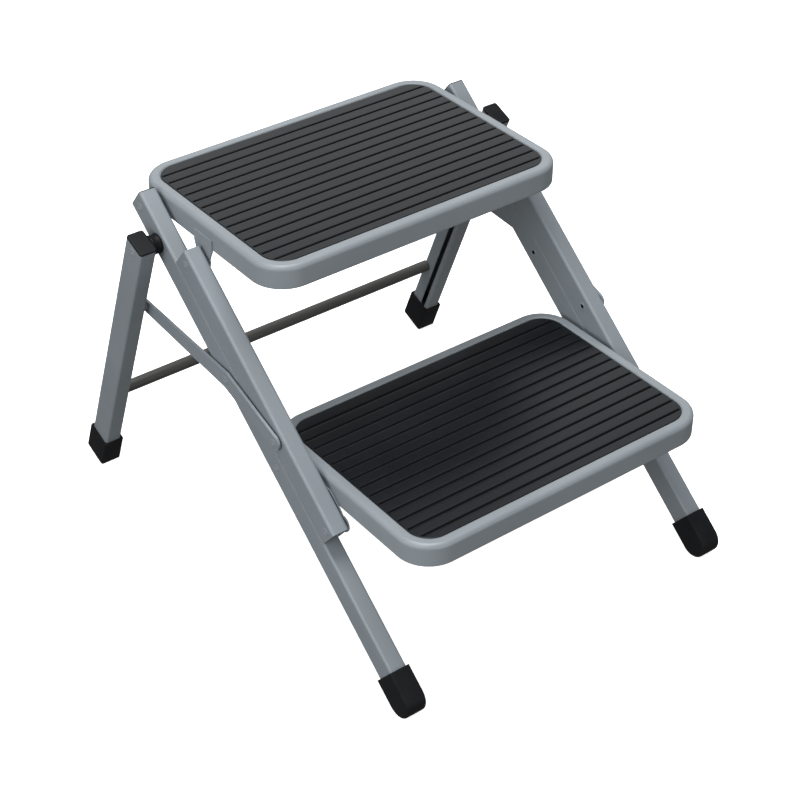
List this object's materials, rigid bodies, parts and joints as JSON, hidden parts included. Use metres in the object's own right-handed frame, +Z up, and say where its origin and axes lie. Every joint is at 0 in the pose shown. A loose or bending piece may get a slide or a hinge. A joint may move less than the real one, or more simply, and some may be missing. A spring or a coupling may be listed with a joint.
{
  "type": "step stool",
  "caption": "Folding step stool: ribbed treads on slanted tube legs, side links and slotted levers fold treads and rear frame together, rubber feet.",
  "frame": {"origin": "centre of the footprint's bounding box, on the floor", "axes": "+X to the stool's right hand side across the treads, -Y to the front (the lower step), +Z up"},
  "size_m": [0.4982, 0.5887, 0.4],
  "materials": {
    "frame_paint": "satin grey paint on folded and welded steel",
    "tread_paint": "satin grey paint on pressed steel",
    "mat_rubber": "dark ribbed rubber, matt",
    "foot_rubber": "black rubber, matt",
    "black_plastic": "black moulded plastic",
    "rivet_metal": "rivet head under the same satin paint",
    "washer_plastic": "dark grey plastic"
  },
  "bodies": {
    "front_frame": {"front_leg_left": "frame_paint", "front_leg_right": "frame_paint", "front_leg_plug_left": "black_plastic", "front_leg_plug_right": "black_plastic", "front_foot_left": "foot_rubber", "front_foot_right": "foot_rubber", "top_tread_rivet_left": "rivet_metal", "top_tread_rivet_right": "rivet_metal", "top_tread_washer_left": "washer_plastic", "top_tread_washer_right": "washer_plastic", "bottom_tread_rivet_left": "rivet_metal", "bottom_tread_rivet_right": "rivet_metal", "bottom_tread_washer_left": "washer_plastic", "bottom_tread_washer_right": "washer_plastic", "lever_pivot_rivet_left": "rivet_metal", "lever_pivot_rivet_right": "rivet_metal", "lever_pivot_washer_left": "washer_plastic", "lever_pivot_washer_right": "washer_plastic"},
    "top_step": {"top_tread_rim": "tread_paint", "top_tread_deck": "tread_paint", "top_mat": "mat_rubber", "top_tread_tab_left": "tread_paint", "top_tread_tab_right": "tread_paint"},
    "bottom_step": {"bottom_tread_rim": "tread_paint", "bottom_tread_deck": "tread_paint", "bottom_mat": "mat_rubber", "bottom_tread_tab_left": "tread_paint", "bottom_tread_tab_right": "tread_paint"},
    "rear_frame": {"crossbar": "frame_paint", "rear_leg_left": "frame_paint", "rear_leg_right": "frame_paint", "rear_leg_cap_left": "black_plastic", "rear_leg_cap_right": "black_plastic", "rear_foot_left": "foot_rubber", "rear_foot_right": "foot_rubber", "pivot_bush_left": "black_plastic", "pivot_bush_right": "black_plastic", "rear_pivot_rivet_left": "rivet_metal", "rear_pivot_rivet_right": "rivet_metal"},
    "link_left": {"link_channel_left": "frame_paint", "top_link_rivet_left": "rivet_metal", "top_link_washer_left": "washer_plastic", "bottom_link_rivet_left": "rivet_metal", "bottom_link_washer_left": "washer_plastic", "lever_link_rivet_left": "rivet_metal", "lever_link_washer_left": "washer_plastic"},
    "lever_left": {"lever_left": "frame_paint", "slot_pin_left": "rivet_metal"},
    "link_right": {"link_channel_right": "frame_paint", "top_link_rivet_right": "rivet_metal", "top_link_washer_right": "washer_plastic", "bottom_link_rivet_right": "rivet_metal", "bottom_link_washer_right": "washer_plastic", "lever_link_rivet_right": "rivet_metal", "lever_link_washer_right": "washer_plastic"},
    "lever_right": {"lever_right": "frame_paint", "slot_pin_right": "rivet_metal"}
  },
  "joints": [
    {"name": "top_step_fold", "type": "hinge", "parent": "front_frame", "child": "top_step", "pos_m": [0, 0.1715, 0.3813], "axis": [-1, 0, 0], "range_deg": [0, 138.5]},
    {"name": "bottom_step_fold", "type": "hinge", "parent": "front_frame", "child": "bottom_step", "pos_m": [0, -0.0685, 0.1863], "axis": [-1, 0, 0], "range_deg": [0, 138.5]},
    {"name": "rear_frame_fold", "type": "hinge", "parent": "front_frame", "child": "rear_frame", "pos_m": [0, 0.13813, 0.35419], "axis": [-1, 0, 0], "range_deg": [0, 69.2]},
    {"name": "link_left_swing", "type": "hinge", "parent": "top_step", "child": "link_left", "pos_m": [0, 0.08574, 0.35285], "axis": [1, 0, 0], "range_deg": [0, 138.5]},
    {"name": "lever_left_swing", "type": "hinge", "parent": "front_frame", "child": "lever_left", "pos_m": [0, 0.0124, 0.25203], "axis": [-1, 0, 0], "range_deg": [0, 138.5]},
    {"name": "link_right_swing", "type": "hinge", "parent": "top_step", "child": "link_right", "pos_m": [0, 0.08574, 0.35285], "axis": [1, 0, 0], "range_deg": [0, 138.5]},
    {"name": "lever_right_swing", "type": "hinge", "parent": "front_frame", "child": "lever_right", "pos_m": [0, 0.0124, 0.25203], "axis": [-1, 0, 0], "range_deg": [0, 138.5]}
  ],
  "couplings": [
    {"joint": "bottom_step_fold", "follows": "top_step_fold", "ratio": 1},
    {"joint": "rear_frame_fold", "follows": "top_step_fold", "ratio": 0.49892},
    {"joint": "link_left_swing", "follows": "top_step_fold", "ratio": 1},
    {"joint": "lever_left_swing", "follows": "top_step_fold", "ratio": 1},
    {"joint": "link_right_swing", "follows": "top_step_fold", "ratio": 1},
    {"joint": "lever_right_swing", "follows": "top_step_fold", "ratio": 1}
  ]
}
